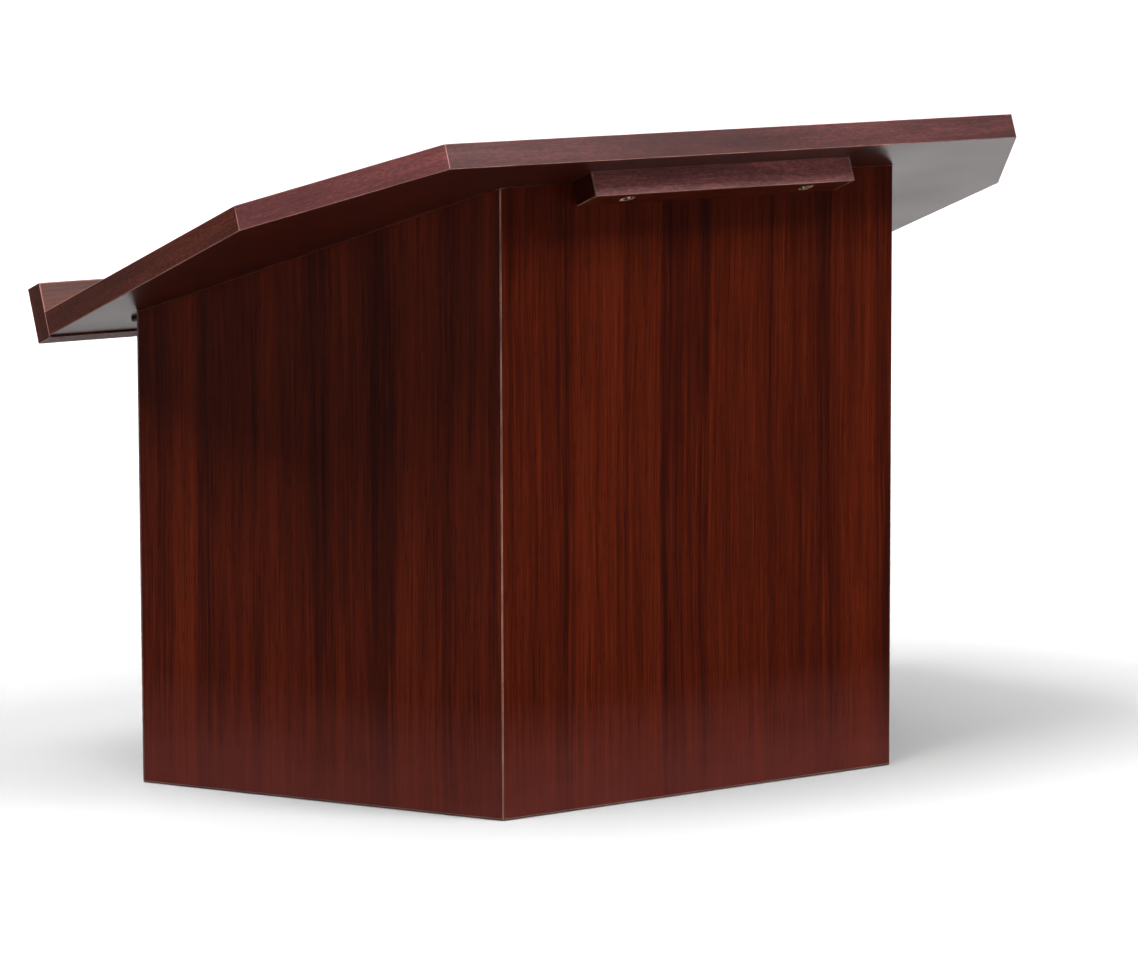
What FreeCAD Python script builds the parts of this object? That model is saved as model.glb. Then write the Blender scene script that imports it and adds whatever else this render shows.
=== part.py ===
import FreeCAD, Part
import math
import os

# Knock-down tabletop lectern: a wide sloping reading board with a book stop,
# resting on a three-panel base whose two splayed side panels fold on butt hinges.
# X is across the lectern, -Y faces the audience, +Y the presenter, +Z is up.
# The origin is the centre of the overall footprint, on the table top.

# overall size
WIDTH = 685.8            # 27 in
DEPTH = 412.75           # 16 1/4 in
HEIGHT = 482.6           # 19 in
SLOPE = 20.0             # fall of the board towards the presenter, degrees

# laminated board and its edge banding
BOARD_T = 18.0
BAND_T = 1.0

# reading board
OVERHANG = 52.6          # along the slope, from the front panel to the front edge
CORNER_X = 90.0          # clipped corner, across
CORNER_S = 132.5         # clipped corner, down the slope
STOP_T = 17.4
STOP_H = 41.6
STOP_DROP = 1.6          # the stop stands this far below the board's underside

# base
FRONT_W = 352.5
SIDE_L = 304.8           # 12 in, along the outer face
SPLAY = 24.5             # each side panel opens outward by this, degrees
SEAT_GAP = 0.3           # between the board and the base below it
MITRE_GAP = 0.3

# cleat that hooks over the front panel
CLEAT_W = 232.0
CLEAT_FRONT = 25.5       # along the slope, from the panel face
CLEAT_BACK = 1.0
CLEAT_SCREW_X = 80.0
RECESS_R, RECESS_D = 5.2, 7.0

# side keepers
KEEPER_W, KEEPER_T = 8.0, 2.4
KEEPER_NEAR, KEEPER_FAR = 1.8, 17.0      # behind the rear end of the side panel
KEEPER_IN = 14.0                         # inward from the panel's outer face
KEEPER_CHAMFER = 4.0

# hinges
PIVOT_OFF = 3.0          # pin axis from both inner faces
LEAF_W, LEAF_H, LEAF_T = 25.0, 50.0, 1.5
KNUCKLE_R, PIN_R, RUN_CLEAR = 2.7, 1.2, 0.06
KNUCKLE_GAP = 0.3
HINGE_Z = (70.0, 300.0)  # underside of each hinge
LEAF_SCREWS = ((11.0, 10.0), (18.0, 25.0), (11.0, 40.0))
SCREW_R, HEAD_R, HEAD_H, SCREW_L = 1.5, 3.0, 1.4, 13.0

V = FreeCAD.Vector
TH = math.radians(SLOPE)
PHI = math.radians(SPLAY)
HW = WIDTH / 2
FACE_Y = OVERHANG * math.cos(TH) - DEPTH / 2
FACE_H = HEIGHT - OVERHANG * math.sin(TH) - BOARD_T * math.cos(TH)
STOP_LOW, STOP_TOP = -STOP_DROP, STOP_H - STOP_DROP
SLOPE_L = (DEPTH - STOP_TOP * math.sin(TH)) / math.cos(TH)
S_FRONT = -OVERHANG
S_END = SLOPE_L - OVERHANG
S_STOP = S_END - STOP_T

# board frame: x across, y down the slope from the front panel, z out of the board
BOARD_FRAME = FreeCAD.Placement(V(0, FACE_Y, FACE_H), FreeCAD.Rotation(V(1, 0, 0), -SLOPE))


def prism(points, z0, z1):
    wire = Part.makePolygon([V(x, y, z0) for x, y in points + points[:1]])
    return Part.Face(wire).extrude(V(0, 0, z1 - z0))


def box(x0, x1, y0, y1, z0, z1):
    return Part.makeBox(x1 - x0, y1 - y0, z1 - z0, V(x0, y0, z0))


def on_slope(shape):
    shape.Placement = BOARD_FRAME.multiply(shape.Placement)
    return shape


def mirrored(shape):
    return shape.mirror(V(0, 0, 0), V(1, 0, 0))


def save(name, shapes):
    solids = [s for shape in shapes for s in shape.Solids]
    shape = solids[0] if len(solids) == 1 else Part.makeCompound(solids)
    shape.exportStep("parts/%s.step" % name)
    print(name, len(solids), round(shape.Volume))


def save_pair(name, shapes):
    save("left_" + name, shapes)
    save("right_" + name, [mirrored(s) for s in shapes])


def cut_all(shape, tools):
    return shape.cut(Part.makeCompound(tools)) if tools else shape


os.makedirs("parts", exist_ok=True)

# ---------------------------------------------------------------- base panels
# Everything below is drawn for the left corner and mirrored for the right.
half_mitre = math.radians((90.0 + SPLAY) / 2)
inset = BOARD_T / math.tan(half_mitre)
corner = V(-FRONT_W / 2, FACE_Y, 0)
along = V(-math.sin(PHI), math.cos(PHI), 0)
inward = V(math.cos(PHI), math.sin(PHI), 0)
gap_along = MITRE_GAP / math.sin(half_mitre)
inner = V(-FRONT_W / 2 + inset, FACE_Y + BOARD_T, 0)
pivot = inner + V(PIVOT_OFF * (1 - math.sin(PHI)) / math.cos(PHI), PIVOT_OFF, 0)


def side_point(u, v):
    p = corner + along * u + inward * v
    return (p.x, p.y)


def under_board(top_gap, bottom_gap):
    """Everything between two planes parallel to the board's underside."""
    return on_slope(box(-400, 400, -300, 700, -bottom_gap, -top_gap))


BELOW = under_board(SEAT_GAP + BAND_T, 900)
TOP_BAND = under_board(SEAT_GAP, SEAT_GAP + BAND_T)
front_plan = [(-FRONT_W / 2, FACE_Y), (FRONT_W / 2, FACE_Y),
              (FRONT_W / 2 - inset, FACE_Y + BOARD_T), (-FRONT_W / 2 + inset, FACE_Y + BOARD_T)]


def side_plan(u0, u1):
    start = [side_point(gap_along, 0), side_point(inset + gap_along, BOARD_T)] if u0 is None \
        else [side_point(u0, 0), side_point(u0, BOARD_T)]
    return [start[0], side_point(u1, 0), side_point(u1, BOARD_T), start[1]]


# ---------------------------------------------------------------- hinges
def screw_solid(base, direction, head_r=HEAD_R, head_h=HEAD_H, shank=SCREW_R, length=SCREW_L):
    """Countersunk screw; base is the middle of its head, direction its travel."""
    cone = Part.makeCone(head_r, shank, head_h, base, direction)
    body = Part.makeCylinder(shank, length - 2.0, base, direction)
    tip = Part.makeCone(shank, 0.3, 2.0, base + direction * (length - 2.0), direction)
    return cone.fuse([body, tip]).removeSplitter()


def cross_slot(base, direction, size, depth):
    """Cross recess in a screw head."""
    bars = [box(-size, size, -size / 4, size / 4, 0, depth),
            box(-size / 4, size / 4, -size, size, 0, depth)]
    cross = bars[0].fuse(bars[1])
    cross.Placement = FreeCAD.Placement(base, FreeCAD.Rotation(V(0, 0, 1), direction))
    return cross


def leaf(face_dir, face_normal, z0, own, other):
    """One hinge leaf on a panel's inner face, with its knuckles."""
    foot = pivot - face_normal * PIVOT_OFF
    a, b = foot, foot + face_dir * LEAF_W
    c, d = b + face_normal * LEAF_T, a + face_normal * LEAF_T
    plate = prism([(p.x, p.y) for p in (a, b, c, d)], z0, z0 + LEAF_H)
    thirds = [z0 + LEAF_H * i / 3 for i in range(4)]
    low = V(pivot.x, pivot.y, 0)
    for i in own:
        h0 = thirds[i] + (KNUCKLE_GAP / 2 if i else 0)
        h1 = thirds[i + 1] - (KNUCKLE_GAP / 2 if i < 2 else 0)
        plate = plate.fuse(Part.makeCylinder(KNUCKLE_R, h1 - h0, low + V(0, 0, h0)))
    for i in other:
        h0, h1 = thirds[i] - KNUCKLE_GAP / 2, thirds[i + 1] + KNUCKLE_GAP / 2
        plate = plate.cut(Part.makeCylinder(KNUCKLE_R + 0.4, h1 - h0, low + V(0, 0, h0)))
    return plate


def leaf_screws(face_dir, face_normal, z0):
    """Screws of one leaf: the full solids, and the same with their cross recesses."""
    foot = pivot - face_normal * (PIVOT_OFF - LEAF_T)
    full, cut = [], []
    for u, dz in LEAF_SCREWS:
        base = foot + face_dir * u + V(0, 0, z0 + dz)
        solid = screw_solid(base, face_normal * -1)
        full.append(solid)
        cut.append(solid.cut(cross_slot(base, face_normal * -1, 1.5, 0.7)))
    return full, cut


hinge = {"front": ([], [], []), "side": ([], [], [])}
pins = []
front_normal = V(0, 1, 0)
for z0 in HINGE_Z:
    for key, direction, normal, own, other, bore in (
            ("front", V(1, 0, 0), front_normal, (0, 2), (1,), PIN_R),
            ("side", along, inward, (1,), (0, 2), PIN_R + RUN_CLEAR)):
        full, cut = leaf_screws(direction, normal, z0)
        plate = leaf(direction, normal, z0, own, other)
        hole = Part.makeCylinder(bore, LEAF_H + 2, V(pivot.x, pivot.y, z0 - 1))
        hinge[key][0].append(cut_all(plate, full + [hole]))
        hinge[key][1].extend(full)
        hinge[key][2].extend(cut)
    pins.append(Part.makeCylinder(PIN_R, LEAF_H, V(pivot.x, pivot.y, z0)))

save_pair("hinge_front_leaves", hinge["front"][0])
save_pair("hinge_side_leaves", hinge["side"][0])
save_pair("hinge_pins", pins)
save_pair("hinge_front_screws", hinge["front"][2])
save_pair("hinge_side_screws", hinge["side"][2])

front_holes = hinge["front"][1] + [mirrored(s) for s in hinge["front"][1]]
front = prism(front_plan, BAND_T, 600).common(BELOW)
save("front_panel", [cut_all(front, front_holes)])
save("front_panel_top_band", [prism(front_plan, 0, 600).common(TOP_BAND)])
save("front_panel_bottom_band", [prism(front_plan, 0, BAND_T)])

side = prism(side_plan(None, SIDE_L - BAND_T), BAND_T, 600).common(BELOW)
save_pair("side_panel", [cut_all(side, hinge["side"][1])])
save_pair("side_rear_band", [prism(side_plan(SIDE_L - BAND_T, SIDE_L), BAND_T, 600).common(BELOW)])
save_pair("side_top_band", [prism(side_plan(None, SIDE_L), 0, 600).common(TOP_BAND)])
save_pair("side_bottom_band", [prism(side_plan(None, SIDE_L), 0, BAND_T)])

# ---------------------------------------------------------------- reading board
S_CORNER = S_FRONT + CORNER_S
outline = [(-HW, S_STOP), (-HW, S_CORNER), (-HW + CORNER_X, S_FRONT),
           (HW - CORNER_X, S_FRONT), (HW, S_CORNER), (HW, S_STOP)]


def inset_outline(points, step):
    """The same open outline moved inwards by step, with mitred corners."""
    lines = []
    for (x0, y0), (x1, y1) in zip(points, points[1:]):
        run = math.hypot(x1 - x0, y1 - y0)
        nx, ny = -(y1 - y0) / run, (x1 - x0) / run
        lines.append((x0 + nx * step, y0 + ny * step, (x1 - x0) / run, (y1 - y0) / run))
    result = [(lines[0][0], points[0][1])]
    for (ax, ay, adx, ady), (bx, by, bdx, bdy) in zip(lines, lines[1:]):
        k = ((bx - ax) * bdy - (by - ay) * bdx) / (adx * bdy - ady * bdx)
        result.append((ax + adx * k, ay + ady * k))
    return result + [(lines[-1][0], points[-1][1])]


core = inset_outline(outline, BAND_T)
names = ["board_left_band", "board_left_corner_band", "board_front_band",
         "board_right_corner_band", "board_right_band"]
for i, name in enumerate(names):
    quad = [outline[i], outline[i + 1], core[i + 1], core[i]]
    save(name, [on_slope(prism(quad, 0, BOARD_T))])

DOWEL_R, DOWEL_IN_STOP, DOWEL_IN_BOARD = 4.0, 11.0, 28.0
dowels = [Part.makeCylinder(DOWEL_R, DOWEL_IN_STOP + DOWEL_IN_BOARD,
                            V(x, S_STOP - DOWEL_IN_BOARD, BOARD_T / 2), V(0, 1, 0))
          for x in (-280, -140, 0, 140, 280)]

CLEAT_T = BOARD_T
cleat_mid = -(CLEAT_FRONT + CLEAT_BACK) / 2
cleat_full, cleat_cut, recesses = [], [], []
for x in (-CLEAT_SCREW_X, CLEAT_SCREW_X):
    base = V(x, cleat_mid, -CLEAT_T + RECESS_D)
    solid = screw_solid(base, V(0, 0, 1), 4.0, 2.4, 2.0, 24.0)
    cleat_full.append(solid)
    cleat_cut.append(solid.cut(cross_slot(base, V(0, 0, 1), 2.2, 1.2)))
    recesses.append(Part.makeCylinder(RECESS_R, RECESS_D + 1, V(x, cleat_mid, -CLEAT_T - 1)))

# keepers stand just behind the rear ends of the side panels
keeper_solids, keeper_full, keeper_cut = [], [], []
for flip in (1, -1):
    ends = []
    far, near = SIDE_L + KEEPER_FAR, SIDE_L + KEEPER_NEAR
    lo, hi = KEEPER_IN, KEEPER_IN + KEEPER_W
    for u, v in ((near, lo), (far - KEEPER_CHAMFER, lo), (far, lo + KEEPER_CHAMFER), (far, hi),
                 (near, hi), ((near + far) / 2, (lo + hi) / 2)):
        p = corner + along * u + inward * v
        ends.append((p.x * flip, (p.y - FACE_Y) / math.cos(TH)))
    cx, cs = ends.pop()
    block = prism(ends, -KEEPER_T, 0)
    base = V(cx, cs, -KEEPER_T)
    solid = screw_solid(base, V(0, 0, 1), 2.6, 1.4, 1.4, 14.0)
    keeper_full.append(solid)
    keeper_cut.append(solid.cut(cross_slot(base, V(0, 0, 1), 1.3, 0.7)))
    keeper_solids.append(block.cut(solid))

board = prism(core, 0, BOARD_T)
save("reading_board", [on_slope(cut_all(board, dowels + cleat_full + keeper_full))])

stop_core = box(-HW + BAND_T, HW - BAND_T, S_STOP, S_END, STOP_LOW + BAND_T,
                STOP_TOP - BAND_T)
save("book_stop", [on_slope(cut_all(stop_core, dowels))])
save("book_stop_top_band", [on_slope(box(-HW + BAND_T, HW - BAND_T, S_STOP, S_END,
                                         STOP_TOP - BAND_T, STOP_TOP))])
save("book_stop_bottom_band", [on_slope(box(-HW + BAND_T, HW - BAND_T, S_STOP, S_END,
                                            STOP_LOW, STOP_LOW + BAND_T))])
save("book_stop_left_end_band", [on_slope(box(-HW, -HW + BAND_T, S_STOP, S_END,
                                              STOP_LOW, STOP_TOP))])
save("book_stop_right_end_band", [on_slope(box(HW - BAND_T, HW, S_STOP, S_END,
                                               STOP_LOW, STOP_TOP))])
save("book_stop_dowels", [on_slope(d) for d in dowels])

# ---------------------------------------------------------------- cleat and keepers
CX = CLEAT_W / 2
cleat = box(-CX + BAND_T, CX - BAND_T, -CLEAT_FRONT + BAND_T, -CLEAT_BACK, -CLEAT_T, 0)
save("front_cleat", [on_slope(cut_all(cleat, recesses + cleat_full))])
save("front_cleat_face_band", [on_slope(box(-CX + BAND_T, CX - BAND_T, -CLEAT_FRONT,
                                            -CLEAT_FRONT + BAND_T, -CLEAT_T, 0))])
save("front_cleat_left_band", [on_slope(box(-CX, -CX + BAND_T, -CLEAT_FRONT, -CLEAT_BACK,
                                            -CLEAT_T, 0))])
save("front_cleat_right_band", [on_slope(box(CX - BAND_T, CX, -CLEAT_FRONT, -CLEAT_BACK,
                                             -CLEAT_T, 0))])
save("cleat_screws", [on_slope(s) for s in cleat_cut])
save("left_side_keeper", [on_slope(keeper_solids[0])])
save("right_side_keeper", [on_slope(keeper_solids[1])])
save("keeper_screws", [on_slope(s) for s in keeper_cut])

print("pivot", round(pivot.x, 3), round(pivot.y, 3), "face_y", round(FACE_Y, 3),
      "face_h", round(FACE_H, 3), "slope_l", round(SLOPE_L, 3))
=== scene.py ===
import math
import bpy
from mathutils import Matrix, Vector


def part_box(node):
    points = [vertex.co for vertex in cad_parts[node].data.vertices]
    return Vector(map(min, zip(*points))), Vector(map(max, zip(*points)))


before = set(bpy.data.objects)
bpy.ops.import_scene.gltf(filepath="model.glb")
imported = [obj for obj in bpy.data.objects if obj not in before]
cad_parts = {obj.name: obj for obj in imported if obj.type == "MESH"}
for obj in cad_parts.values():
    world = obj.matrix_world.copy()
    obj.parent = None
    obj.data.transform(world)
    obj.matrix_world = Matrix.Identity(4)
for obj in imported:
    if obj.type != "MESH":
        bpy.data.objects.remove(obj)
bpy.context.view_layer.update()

# ------------------------------------------------------------------ the frame
MM = 0.001
SLOPE = math.radians(20.0)       # fall of the reading board towards the presenter
SPLAY = math.radians(24.5)       # outward opening of each side panel
CORNER_X, CORNER_S = 90 * MM, 132.5 * MM     # cut corners: across, and down the slope
CLEAT_SCREW_X, CLEAT_SCREW_S = 80 * MM, 13.25 * MM   # from the middle, and out from the panel's face
RIM_R = 5.4 * MM                 # torn board round the cleat's recesses
X_AXIS, Y_AXIS, Z_AXIS = Vector((1, 0, 0)), Vector((0, 1, 0)), Vector((0, 0, 1))
DOWN_SLOPE = Vector((0, math.cos(SLOPE), -math.sin(SLOPE)))
BOARD_UP = Vector((0, math.sin(SLOPE), math.cos(SLOPE)))
LEFT_ALONG = Vector((-math.sin(SPLAY), math.cos(SPLAY), 0))
RIGHT_ALONG = Vector((math.sin(SPLAY), math.cos(SPLAY), 0))

# ------------------------------------------------------------------ camera
CAM_AZIMUTH, CAM_ELEVATION, CAM_ROLL = math.radians(-36.14), math.radians(7.69), math.radians(0.18)
CAM_SPOT = Vector((-2.2834, -3.1219, 0.7296))
LENS_MM, SENSOR_MM = 166.28, 36.0


def make_camera():
    camera = bpy.data.objects.new("camera", bpy.data.cameras.new("camera"))
    bpy.context.scene.collection.objects.link(camera)
    camera.data.lens, camera.data.sensor_width = LENS_MM, SENSOR_MM
    camera.data.clip_end = 200.0
    ahead = Vector((-math.sin(CAM_AZIMUTH) * math.cos(CAM_ELEVATION),
                    math.cos(CAM_AZIMUTH) * math.cos(CAM_ELEVATION), -math.sin(CAM_ELEVATION)))
    turn = ahead.to_track_quat("-Z", "Y").to_matrix().to_4x4()
    roll = Matrix.Rotation(-CAM_ROLL, 4, "Z")
    camera.matrix_world = turn @ roll
    camera.location = CAM_SPOT
    bpy.context.scene.camera = camera


make_camera()


# ------------------------------------------------------------------ shader graphs
class Graph:
    """A material and short ways to add nodes to it."""

    def __init__(self, name):
        self.material = bpy.data.materials.new(name)
        self.material.use_nodes = True
        self.tree = self.material.node_tree
        self.tree.nodes.clear()
        self.shader = self.node("ShaderNodeBsdfPrincipled")
        out = self.node("ShaderNodeOutputMaterial")
        self.tree.links.new(self.shader.outputs["BSDF"], out.inputs["Surface"])
        self.coords = self.node("ShaderNodeTexCoord").outputs["Object"]

    def node(self, kind, **settings):
        made = self.tree.nodes.new(kind)
        for key, value in settings.items():
            setattr(made, key, value)
        return made

    def feed(self, socket, value):
        if isinstance(value, bpy.types.NodeSocket):
            self.tree.links.new(value, socket)
        elif isinstance(value, tuple) and len(value) == 3 and socket.type == "RGBA":
            socket.default_value = (*value, 1.0)
        else:
            socket.default_value = value

    def math(self, operation, a, b=0.0, clamp=False):
        made = self.node("ShaderNodeMath", operation=operation, use_clamp=clamp)
        self.feed(made.inputs[0], a)
        self.feed(made.inputs[1], b)
        return made.outputs[0]

    def vector(self, operation, a, b):
        made = self.node("ShaderNodeVectorMath", operation=operation)
        self.feed(made.inputs[0], a)
        self.feed(made.inputs[1], b)
        return made.outputs["Value" if operation == "DOT_PRODUCT" else "Vector"]

    def combine(self, x, y, z):
        made = self.node("ShaderNodeCombineXYZ")
        for socket, value in zip(made.inputs, (x, y, z)):
            self.feed(socket, value)
        return made.outputs[0]

    def noise(self, vector, scales, detail=2.0, roughness=0.5, distortion=0.0):
        made = self.node("ShaderNodeTexNoise")
        self.feed(made.inputs["Vector"], self.vector("MULTIPLY", vector, scales))
        made.inputs["Scale"].default_value = 1.0
        made.inputs["Detail"].default_value = detail
        made.inputs["Roughness"].default_value = roughness
        made.inputs["Distortion"].default_value = distortion
        return made.outputs[0]

    def ramp(self, value, stops, interpolation="LINEAR"):
        made = self.node("ShaderNodeValToRGB")
        band = made.color_ramp
        band.interpolation = interpolation
        while len(band.elements) < len(stops):
            band.elements.new(0.5)
        for element, (place, colour) in zip(band.elements, stops):
            element.position = place
            element.color = (*colour, 1.0) if isinstance(colour, tuple) else (colour,) * 3 + (1.0,)
        self.feed(made.inputs[0], value)
        return made.outputs["Color"]

    def mix(self, factor, a, b, blend="MIX"):
        made = self.node("ShaderNodeMix", data_type="RGBA", blend_type=blend)
        self.feed(made.inputs[0], factor)
        self.feed(made.inputs[6], a)
        self.feed(made.inputs[7], b)
        return made.outputs[2]

    def remap(self, value, low, high, to_low=0.0, to_high=1.0):
        made = self.node("ShaderNodeMapRange", clamp=True)
        for socket, entry in zip(made.inputs, (value, low, high, to_low, to_high)):
            self.feed(socket, entry)
        return made.outputs[0]

    def bump(self, height, distance, strength=1.0):
        made = self.node("ShaderNodeBump")
        made.inputs["Strength"].default_value = strength
        made.inputs["Distance"].default_value = distance
        self.feed(made.inputs["Height"], height)
        self.feed(self.shader.inputs["Normal"], made.outputs[0])

    def set(self, **values):
        for key, value in values.items():
            self.feed(self.shader.inputs[key.replace("_", " ")], value)


# ------------------------------------------------------------------ mahogany laminate
DEEP = (0.0090, 0.0016, 0.0010)
DARK = (0.0190, 0.0025, 0.0011)
MID = (0.0370, 0.0044, 0.0014)
RED = (0.0560, 0.0070, 0.0019)
WARM = (0.0860, 0.0125, 0.0034)


def grain_space(g, grain, across, seed):
    """Coordinates along the grain, across it with a slow wander, and through the board."""
    through = grain.cross(across)
    u = g.vector("DOT_PRODUCT", g.coords, tuple(grain))
    v = g.vector("DOT_PRODUCT", g.coords, tuple(across))
    w = g.vector("DOT_PRODUCT", g.coords, tuple(through))
    flat = g.combine(u, v, g.math("ADD", w, seed))
    slow = g.noise(flat, (2.6, 7.0, 3.0), 2.0, 0.5)
    quick = g.noise(flat, (11.0, 30.0, 9.0), 2.0, 0.55)
    shift = g.math("ADD", g.math("MULTIPLY", g.math("SUBTRACT", slow, 0.5), 0.011),
                   g.math("MULTIPLY", g.math("SUBTRACT", quick, 0.5), 0.0016))
    bent = g.math("ADD", v, shift)
    return g.combine(u, bent, g.math("ADD", g.math("MULTIPLY", w, 0.2), seed)), u, bent


def recess_rims(g, colour, centres, radius):
    """Pale torn chipboard round drilled recesses; each centre is a point on the drill's axis."""
    ragged = g.noise(g.coords, (900.0, 900.0, 900.0), 3.0, 0.7)
    chips = g.noise(g.coords, (620.0, 620.0, 620.0), 2.0, 0.6)
    for centre in centres:
        rel = g.vector("SUBTRACT", g.coords, tuple(centre))
        x = g.vector("DOT_PRODUCT", rel, tuple(X_AXIS))
        s = g.vector("DOT_PRODUCT", rel, tuple(DOWN_SLOPE))
        away = g.math("SQRT", g.math("ADD", g.math("MULTIPLY", x, x), g.math("MULTIPLY", s, s)))
        torn = g.math("ADD", away, g.math("MULTIPLY", g.math("SUBTRACT", ragged, 0.5), 0.007))
        pale = g.ramp(chips, [(0.49, (0.014, 0.006, 0.004)), (0.60, (0.62, 0.46, 0.34))])
        colour = g.mix(g.remap(torn, radius, radius + 0.0004, 1.0, 0.0), colour, pale)
    return colour


def streak_mask(g, bent, streaks):
    """Dark growth bands at listed places across the panel: (centre, half width, depth)."""
    total = None
    for centre, half, depth in streaks:
        gap = g.math("ABSOLUTE", g.math("SUBTRACT", bent, centre))
        one = g.remap(gap, half * 0.25, half, depth, 0.0)
        total = one if total is None else g.math("MAXIMUM", total, one)
    return total


def mahogany(name, grain, across, seed, streaks=(), gain=1.0, specular=0.008, rough=0.36,
             broad_scale=30.0, recesses=(), pore_depth=0.55):
    g = Graph(name)
    space, _, bent = grain_space(g, grain, across, seed)
    broad = g.noise(space, (0.7, broad_scale, 1.0), 4.0, 0.6)
    fine = g.noise(space, (4.0, 260.0, 1.0), 4.0, 0.6)
    hair = g.noise(space, (14.0, 1000.0, 1.0), 3.0, 0.65)
    tone = g.math("ADD", g.math("MULTIPLY", broad, 0.26),
                  g.math("ADD", g.math("MULTIPLY", fine, 0.26), g.math("MULTIPLY", hair, 0.38)))
    tone = g.math("ADD", tone, 0.05)
    if streaks:
        broken = g.remap(fine, 0.35, 0.65, 1.25, 0.45)
        tone = g.math("SUBTRACT", tone, g.math("MULTIPLY", streak_mask(g, bent, streaks), broken))
    colour = g.ramp(tone, [(0.30, DEEP), (0.41, DARK), (0.50, MID), (0.58, RED), (0.72, WARM)])
    pores = g.noise(space, (60.0, 1600.0, 1.0), 1.0, 0.5)
    pore = g.remap(pores, 0.30, 0.40, 1.0, 0.0)
    colour = g.mix(g.math("MULTIPLY", pore, pore_depth), colour, (0.004, 0.001, 0.0008))
    if gain != 1.0:
        colour = g.mix(1.0, colour, (gain, gain, gain), "MULTIPLY")
    if grain == Z_AXIS:
        # painted floor reflection: the upright panels are lifted toward a pale haze, strongest at the floor
        # and gone by 85 mm up, broken into patches
        height = g.vector("DOT_PRODUCT", g.coords, (0.0, 0.0, 1.0))
        haze_patches = g.noise(g.coords, (14.0, 14.0, 30.0), 3.0, 0.6)
        floor_haze = g.math("MULTIPLY", g.remap(height, 0.0, 0.085, 0.5, 0.0), g.remap(haze_patches, 0.3, 0.7, 0.7, 1.1))
        colour = g.mix(floor_haze, colour, (0.080, 0.020, 0.017))
    if recesses:
        colour = recess_rims(g, colour, recesses, RIM_R)
    g.bump(fine, 0.00008, 0.35)
    smear = g.noise(g.coords, (9.0, 9.0, 9.0), 1.0, 0.5)
    roughness = g.math("ADD", g.remap(smear, 0.3, 0.7, rough - 0.03, rough + 0.05),
                       g.math("MULTIPLY", pore, pore_depth * 0.2))
    g.set(Base_Color=colour, Roughness=roughness)
    g.shader.inputs["Specular IOR Level"].default_value = specular
    return g.material


def banding(name, grain, across, seed, gain=1.0, rough=0.30, specular=0.5):
    """Thin plastic edge banding, printed to match the board; the glossy ones' colours also carry a painted
    sheen, lifted toward purple-grey, and the dull ones are redder.
    """
    g = Graph(name)
    space, _, _ = grain_space(g, grain, across, seed)
    broad = g.noise(space, (5.0, 60.0, 40.0), 3.0, 0.6)
    fine = g.noise(space, (30.0, 900.0, 700.0), 3.0, 0.6)
    fleck = g.noise(space, (240.0, 700.0, 700.0), 2.0, 0.6)
    tone = g.math("ADD", g.math("MULTIPLY", broad, 0.4),
                  g.math("ADD", g.math("MULTIPLY", fine, 0.25), g.math("MULTIPLY", fleck, 0.35)))
    if specular < 0.1:
        stops = [(0.34, (0.0110, 0.0020, 0.0012)), (0.5, (0.0330, 0.0058, 0.0030)),
                 (0.66, (0.0720, 0.0140, 0.0070))]
    else:
        # painted sheen: the glossy bands' printed colours are lifted toward purple-grey
        stops = [(0.34, (0.0100, 0.0020, 0.0019)), (0.5, (0.0330, 0.0080, 0.0078)),
                 (0.66, (0.0800, 0.0230, 0.0220))]
    colour = g.ramp(tone, stops)
    if gain != 1.0:
        colour = g.mix(1.0, colour, (gain, gain, gain), "MULTIPLY")
    speck = g.noise(g.coords, (1500.0, 1500.0, 1500.0), 2.0, 0.5)
    g.bump(g.math("ADD", g.math("MULTIPLY", fleck, 0.7), g.math("MULTIPLY", speck, 0.3)), 0.00007, 0.6)
    g.set(Base_Color=colour, Roughness=g.remap(fleck, 0.35, 0.65, rough + 0.12, rough))
    g.shader.inputs["Specular IOR Level"].default_value = specular
    return g.material


def arris(name, strength=1.0, corners=()):
    """The pale worn line where banding or laminate is trimmed at an edge.

    With corners, only the upright edges at those plan points are worn."""
    g = Graph(name)
    patch = g.noise(g.coords, (35.0, 35.0, 35.0), 3.0, 0.6)
    speck = g.noise(g.coords, (700.0, 700.0, 700.0), 2.0, 0.6)
    worn = g.math("MULTIPLY", g.remap(patch, 0.32, 0.62, 0.35, 1.0), g.remap(speck, 0.3, 0.6, 0.6, 1.0))
    worn = g.math("MULTIPLY", worn, strength)
    if corners:
        near = None
        for corner in corners:
            flat = g.vector("MULTIPLY", g.vector("SUBTRACT", g.coords, corner), (1.0, 1.0, 0.0))
            away = g.node("ShaderNodeVectorMath", operation="LENGTH")
            g.feed(away.inputs[0], flat)
            one = g.remap(away.outputs["Value"], 0.003, 0.005, 1.0, 0.0)
            near = one if near is None else g.math("MAXIMUM", near, one)
        worn = g.math("MULTIPLY", worn, near)
    colour = g.mix(worn, (0.016, 0.003, 0.002), (0.260, 0.120, 0.090))
    g.set(Base_Color=colour, Roughness=g.remap(speck, 0.3, 0.7, 0.35, 0.55))
    g.shader.inputs["Specular IOR Level"].default_value = 0.4
    g.bump(speck, 0.00004, 0.5)
    return g.material


# ------------------------------------------------------------------ metal, plastic, wood
def metal(name, colour, tarnish, grain, rough=0.30):
    g = Graph(name)
    fine = g.noise(g.vector("ADD", g.coords, (3.0, 1.0, 2.0)), grain, 3.0, 0.6)
    stain = g.noise(g.coords, (90.0, 90.0, 90.0), 4.0, 0.6)
    g.set(Base_Color=g.mix(g.remap(stain, 0.42, 0.70), colour, tarnish),
          Roughness=g.remap(fine, 0.3, 0.7, rough, rough + 0.18))
    g.shader.inputs["Metallic"].default_value = 1.0
    g.bump(fine, 0.00003, 0.6)
    return g.material


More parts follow.
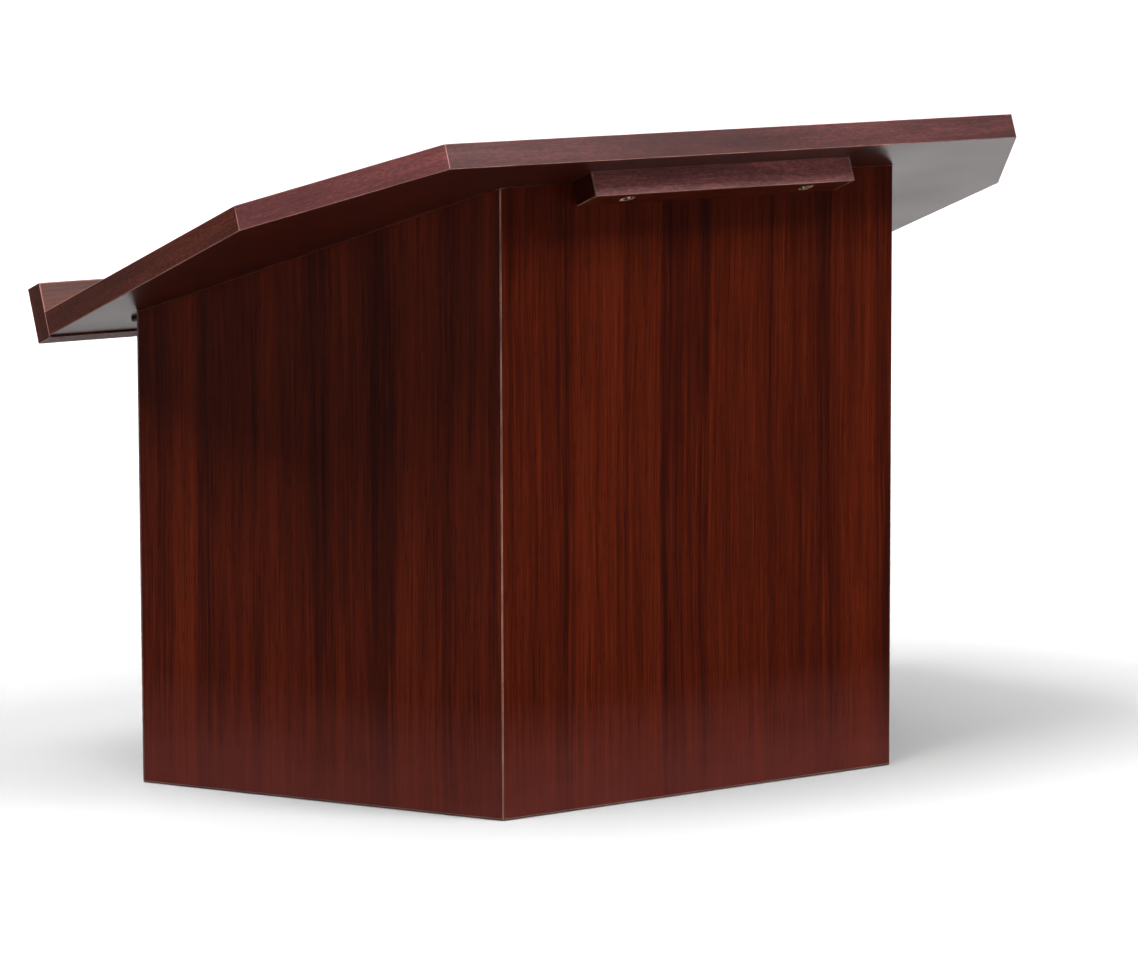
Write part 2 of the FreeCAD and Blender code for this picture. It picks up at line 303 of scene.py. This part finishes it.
def moulded(name, colour):
    g = Graph(name)
    speck = g.noise(g.coords, (1800.0, 1800.0, 1800.0), 2.0, 0.5)
    wear = g.noise(g.coords, (60.0, 60.0, 60.0), 3.0, 0.5)
    lighter = tuple(c * 1.9 for c in colour)
    g.set(Base_Color=g.mix(g.remap(wear, 0.45, 0.75), colour, lighter),
          Roughness=g.remap(speck, 0.3, 0.7, 0.5, 0.68))
    g.shader.inputs["Specular IOR Level"].default_value = 0.06
    g.bump(speck, 0.00006, 0.5)
    return g.material


def raw_wood(name, grain):
    g = Graph(name)
    fine = g.noise(g.coords, grain, 4.0, 0.6)
    g.set(Base_Color=g.ramp(fine, [(0.3, (0.30, 0.17, 0.08)), (0.7, (0.60, 0.42, 0.24))]),
          Roughness=g.remap(fine, 0.3, 0.7, 0.55, 0.75))
    g.bump(fine, 0.0001, 0.5)
    return g.material


# ------------------------------------------------------------------ dressing the CAD nodes
def finish_node(name, material, edge=None, width=0.5 * MM, segments=2):
    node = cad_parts[name]
    node.data.materials.clear()
    node.data.materials.append(material)
    node.data.materials.append(edge or material)
    weld = node.modifiers.new("weld", "WELD")
    weld.merge_threshold = 0.00002
    flat = node.modifiers.new("flat", "DECIMATE")
    flat.decimate_type, flat.angle_limit = "DISSOLVE", math.radians(0.5)
    if width:
        bevel = node.modifiers.new("arris", "BEVEL")
        bevel.width, bevel.segments = width, segments
        bevel.limit_method, bevel.angle_limit = "ANGLE", math.radians(32)
        bevel.material = 1
        bevel.use_clamp_overlap = False
        bevel.harden_normals = False
    return node


def second_finish(node, facing):
    """Give the faces that look this way the node's second material."""
    for face in node.data.polygons:
        face.material_index = 1 if face.normal.dot(facing) > 0.9 else 0


line = arris("worn_arris")
faint = arris("faint_arris", 0.45)

face_low, face_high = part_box("front_panel")
corner_spots = [(face_low.x, face_low.y, 0.0), (face_high.x, face_low.y, 0.0)]
corner_line = arris("corner_arris", 1.0, corner_spots)

# dark growth streaks: place across the panel, half width, depth of tone
FRONT_STREAKS = ((-0.122, 0.010, 0.10), (-0.030, 0.008, 0.10), (0.002, 0.007, 0.09),
                 (-0.014, 0.026, 0.05), (0.062, 0.010, 0.05), (0.112, 0.012, 0.09),
                 (0.170, 0.012, 0.08), (-0.168, 0.010, 0.05))
LEFT_STREAKS = ((0.245, 0.008, 0.08), (0.180, 0.010, 0.06), (0.135, 0.007, 0.08),
                (0.080, 0.012, 0.06), (0.030, 0.020, 0.04))

finish_node("front_panel", mahogany("front_laminate", Z_AXIS, X_AXIS, 3.1, FRONT_STREAKS, 0.87),
            corner_line)
finish_node("left_side_panel", mahogany("left_laminate", Z_AXIS, LEFT_ALONG, 8.4, LEFT_STREAKS, 0.90, 0.02),
            corner_line)
finish_node("right_side_panel", mahogany("right_laminate", Z_AXIS, RIGHT_ALONG, 14.2), corner_line)
board = finish_node("reading_board",
                    mahogany("board_top_laminate", X_AXIS, DOWN_SLOPE, 21.7, (), 0.95, 0.03, 0.46),
                    # painted shade: the underside's laminate is darkened to a 0.6 gain against the top's
                    # 0.95
                    mahogany("board_under_laminate_painted_shade", X_AXIS, DOWN_SLOPE, 27.2, (), 0.6, 0.30, 0.32,
                             pore_depth=0.1),
                    width=0)
under = board.data.materials[1].node_tree.nodes["Principled BSDF"]
under.inputs["Specular Tint"].default_value = (1.0, 0.87, 0.87, 1.0)
second_finish(board, -BOARD_UP)
stop = finish_node("book_stop",
                   # painted shade: the inner face's laminate is darkened to a 0.7 gain against the outer
                   # face's 1.0
                   mahogany("stop_inner_laminate_painted_shade", X_AXIS, BOARD_UP, 33.3, (), 0.7, 0.15, 0.32, 60.0),
                   mahogany("stop_outer_laminate", X_AXIS, BOARD_UP, 35.8, (), 1.0, 0.05, 0.38, 60.0),
                   width=0)
second_finish(stop, DOWN_SLOPE)
panel_face = Vector((0, face_low.y, face_high.z))
cleat_holes = [panel_face + X_AXIS * x - DOWN_SLOPE * CLEAT_SCREW_S for x in (-CLEAT_SCREW_X, CLEAT_SCREW_X)]
finish_node("front_cleat", mahogany("cleat_laminate", X_AXIS, DOWN_SLOPE, 41.9, (), 0.9, 0.1, 0.32,
                                    recesses=cleat_holes), line, 0.4 * MM)

corner_left = (X_AXIS * CORNER_X - DOWN_SLOPE * CORNER_S).normalized()
corner_right = Vector((-corner_left.x, corner_left.y, corner_left.z))
BANDS = {
    "front_panel_top_band": (X_AXIS, Y_AXIS), "front_panel_bottom_band": (X_AXIS, Y_AXIS),
    "left_side_top_band": (LEFT_ALONG, Z_AXIS), "right_side_top_band": (RIGHT_ALONG, Z_AXIS),
    "left_side_bottom_band": (LEFT_ALONG, Z_AXIS), "right_side_bottom_band": (RIGHT_ALONG, Z_AXIS),
    "left_side_rear_band": (Z_AXIS, X_AXIS), "right_side_rear_band": (Z_AXIS, X_AXIS),
    "board_left_band": (DOWN_SLOPE, BOARD_UP), "board_right_band": (DOWN_SLOPE, BOARD_UP),
    "board_left_corner_band": (corner_left, BOARD_UP), "board_front_band": (X_AXIS, BOARD_UP),
    "board_right_corner_band": (corner_right, BOARD_UP),
    "book_stop_top_band": (X_AXIS, DOWN_SLOPE), "book_stop_bottom_band": (X_AXIS, DOWN_SLOPE),
    "book_stop_left_end_band": (BOARD_UP, DOWN_SLOPE), "book_stop_right_end_band": (BOARD_UP, DOWN_SLOPE),
    "front_cleat_face_band": (X_AXIS, BOARD_UP), "front_cleat_left_band": (DOWN_SLOPE, BOARD_UP),
    "front_cleat_right_band": (DOWN_SLOPE, BOARD_UP),
}
SHEEN = {"board_front_band": 0.145, "board_left_corner_band": 0.28, "board_right_corner_band": 0.24,
         "front_cleat_face_band": 0.22, "front_cleat_right_band": 0.22}
# painted light and shade: each band's printed colour is scaled for the light on its face; the cleat's face
# is lifted to 2.4 where the overhang shades it, its left end darkened to 0.4 for the shadow there, and the
# stop's top and bottom bands are lifted in place of a dulled sheen
BAND_PAINTED_LIGHT = {"front_cleat_face_band": 2.4, "front_cleat_left_band": 0.4, "book_stop_top_band": 1.5,
        "book_stop_bottom_band": 1.4, "book_stop_left_end_band": 0.55, "book_stop_right_end_band": 0.7,
        "board_left_band": 0.75, "board_right_band": 0.8, "board_front_band": 0.65,
        "board_left_corner_band": 1.25}
for count, (name, (grain, across)) in enumerate(BANDS.items()):
    seam = "panel" in name or "side_" in name
    film = banding(name + "_film", grain, across, 50.0 + 1.7 * count, BAND_PAINTED_LIGHT.get(name, 1.0),
                   specular=SHEEN.get(name, 0.02))
    hidden = "top_band" in name and seam
    finish_node(name, film, film if hidden else (faint if seam else line),
                0.15 * MM if hidden else 0.32 * MM)

brass = metal("brassed_steel", (0.52, 0.38, 0.18), (0.38, 0.27, 0.13), (60.0, 60.0, 1100.0))
steel = metal("pin_steel", (0.55, 0.55, 0.56), (0.25, 0.24, 0.23), (900.0, 900.0, 60.0))
zinc = metal("zinc_screws", (0.42, 0.41, 0.40), (0.16, 0.14, 0.12), (700.0, 700.0, 700.0), 0.34)
plastic = moulded("black_plastic", (0.002, 0.002, 0.0022))
beech = raw_wood("beech", (900.0, 40.0, 900.0))
for side in ("left", "right"):
    finish_node(side + "_hinge_front_leaves", brass, width=0.2 * MM)
    finish_node(side + "_hinge_side_leaves", brass, width=0.2 * MM)
    finish_node(side + "_hinge_pins", steel, width=0.2 * MM)
    finish_node(side + "_hinge_front_screws", zinc, width=0)
    finish_node(side + "_hinge_side_screws", zinc, width=0)
    finish_node(side + "_side_keeper", plastic, width=0.6 * MM)
finish_node("cleat_screws", zinc, width=0)
finish_node("keeper_screws", zinc, width=0)
finish_node("book_stop_dowels", beech, width=0)


# ------------------------------------------------------------------ floor and light
def make_floor():
    half = 60.0
    mesh = bpy.data.meshes.new("studio_floor")
    mesh.from_pydata([(-half, -half, 0), (half, -half, 0), (half, half, 0), (-half, half, 0)], [],
                     [(0, 1, 2, 3)])
    floor = bpy.data.objects.new("studio_floor", mesh)
    floor.location.z = -0.0005
    bpy.context.scene.collection.objects.link(floor)
    g = Graph("studio_floor")
    away = g.node("ShaderNodeVectorMath", operation="LENGTH")
    g.feed(away.inputs[0], g.coords)
    g.set(Base_Color=g.mix(g.remap(away.outputs["Value"], 0.6, 5.0), (0.175, 0.175, 0.175),
                           (0.60, 0.60, 0.60)))
    g.shader.inputs["Roughness"].default_value = 0.9
    g.shader.inputs["Specular IOR Level"].default_value = 0.1
    floor.data.materials.append(g.material)


def make_horizon(radius=34.0, height=4.4, sides=96):
    """A low white wall far away, so the studio stays white at eye level."""
    mesh = bpy.data.meshes.new("studio_horizon")
    turns = [2 * math.pi * i / sides for i in range(sides)]
    points = [(radius * math.cos(t), radius * math.sin(t), z) for z in (-0.1, height) for t in turns]
    mesh.from_pydata(points, [], [(i, (i + 1) % sides, sides + (i + 1) % sides, sides + i)
                                  for i in range(sides)])
    wall = bpy.data.objects.new("studio_horizon", mesh)
    bpy.context.scene.collection.objects.link(wall)
    g = Graph("studio_horizon")
    g.set(Base_Color=(0.8, 0.8, 0.8), Emission_Color=(1.0, 1.0, 1.0), Emission_Strength=1.0)
    wall.data.materials.append(g.material)


def softbox(name, azimuth, elevation, distance, size, power, aim=(0, 0, 0.25)):
    """A square soft light; azimuth 0 stands on the audience side, negative to the left."""
    light = bpy.data.objects.new(name, bpy.data.lights.new(name, "AREA"))
    light.data.shape, light.data.size = "SQUARE", size
    light.data.energy = power
    a, e = math.radians(azimuth), math.radians(elevation)
    away = Vector((math.sin(a) * math.cos(e), -math.cos(a) * math.cos(e), math.sin(e)))
    light.location = Vector(aim) + away * distance
    light.rotation_euler = away.to_track_quat("Z", "Y").to_euler()
    bpy.context.scene.collection.objects.link(light)


def skylight(name, azimuth, elevation, strength, spread):
    """A distant soft light, even over the whole floor."""
    light = bpy.data.objects.new(name, bpy.data.lights.new(name, "SUN"))
    light.data.energy, light.data.angle = strength, math.radians(spread)
    a, e = math.radians(azimuth), math.radians(elevation)
    away = Vector((math.sin(a) * math.cos(e), -math.cos(a) * math.cos(e), math.sin(e)))
    light.rotation_euler = away.to_track_quat("Z", "Y").to_euler()
    bpy.context.scene.collection.objects.link(light)


make_floor()
make_horizon()
skylight("ceiling", 0, 88, 5.4, 50)
softbox("key", 28, 50, 4.0, 1.3, 345)
softbox("left_fill", -80, 66, 4.0, 1.8, 570)
softbox("sheen_card", 42, 26, 3.5, 2.6, 10)
softbox("back_fill", 165, 45, 4.0, 2.0, 50)

world = bpy.data.worlds.new("studio")
world.use_nodes = True
world.node_tree.nodes["Background"].inputs["Color"].default_value = (1.0, 1.0, 1.0, 1.0)
world.node_tree.nodes["Background"].inputs["Strength"].default_value = 0.03
bpy.context.scene.world = world
bpy.context.scene.view_settings.view_transform = "Standard"
